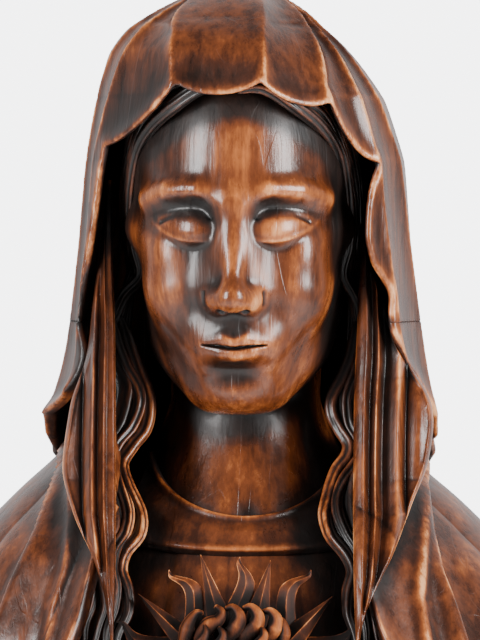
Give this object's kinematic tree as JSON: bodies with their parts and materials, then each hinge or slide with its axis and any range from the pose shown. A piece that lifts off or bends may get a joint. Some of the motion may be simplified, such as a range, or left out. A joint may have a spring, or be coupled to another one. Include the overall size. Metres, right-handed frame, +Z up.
{
  "type": "madonna statue",
  "caption": "Standing carved wooden Madonna with veil, mantle, radiant heart on the chest and raised hands, on an octagonal plinth.",
  "frame": {"origin": "centre of the plinth's underside", "axes": "+Z up, the figure faces -Y, +X is the figure's own left side"},
  "size_m": [0.4, 0.33, 1.205],
  "materials": {
    "carved_wood": "dark walnut stain, waxed, worn lighter on the raised edges",
    "plinth_wood": "dark walnut stain, waxed",
    "dowel_wood": "bare turned wood",
    "fixing_steel": "plain zinc"
  },
  "bodies": {
    "root": {"back_board_screws": "fixing_steel", "body_dowels": "dowel_wood", "figure_bolts": "fixing_steel", "gown_block": "carved_wood", "hair_left": "carved_wood", "hair_right": "carved_wood", "hand_left": "carved_wood", "hand_right": "carved_wood", "head": "carved_wood", "heart": "carved_wood", "heart_dowel": "dowel_wood", "heart_flames": "carved_wood", "mantle_back_board": "carved_wood", "mantle_left": "carved_wood", "mantle_right": "carved_wood", "neck_dowel": "dowel_wood", "neckband": "carved_wood", "plinth_foot": "plinth_wood", "plinth_screws": "fixing_steel", "plinth_top": "plinth_wood", "shoe_left": "carved_wood", "shoe_right": "carved_wood", "sleeve_left": "carved_wood", "sleeve_right": "carved_wood", "straight_rays": "carved_wood", "veil_crown": "carved_wood", "veil_fall_back": "carved_wood", "veil_fall_left": "carved_wood", "veil_fall_right": "carved_wood", "veil_lappet_left": "carved_wood", "veil_lappet_right": "carved_wood", "wavy_rays": "carved_wood", "wrist_dowels": "dowel_wood"}
  },
  "joints": []
}
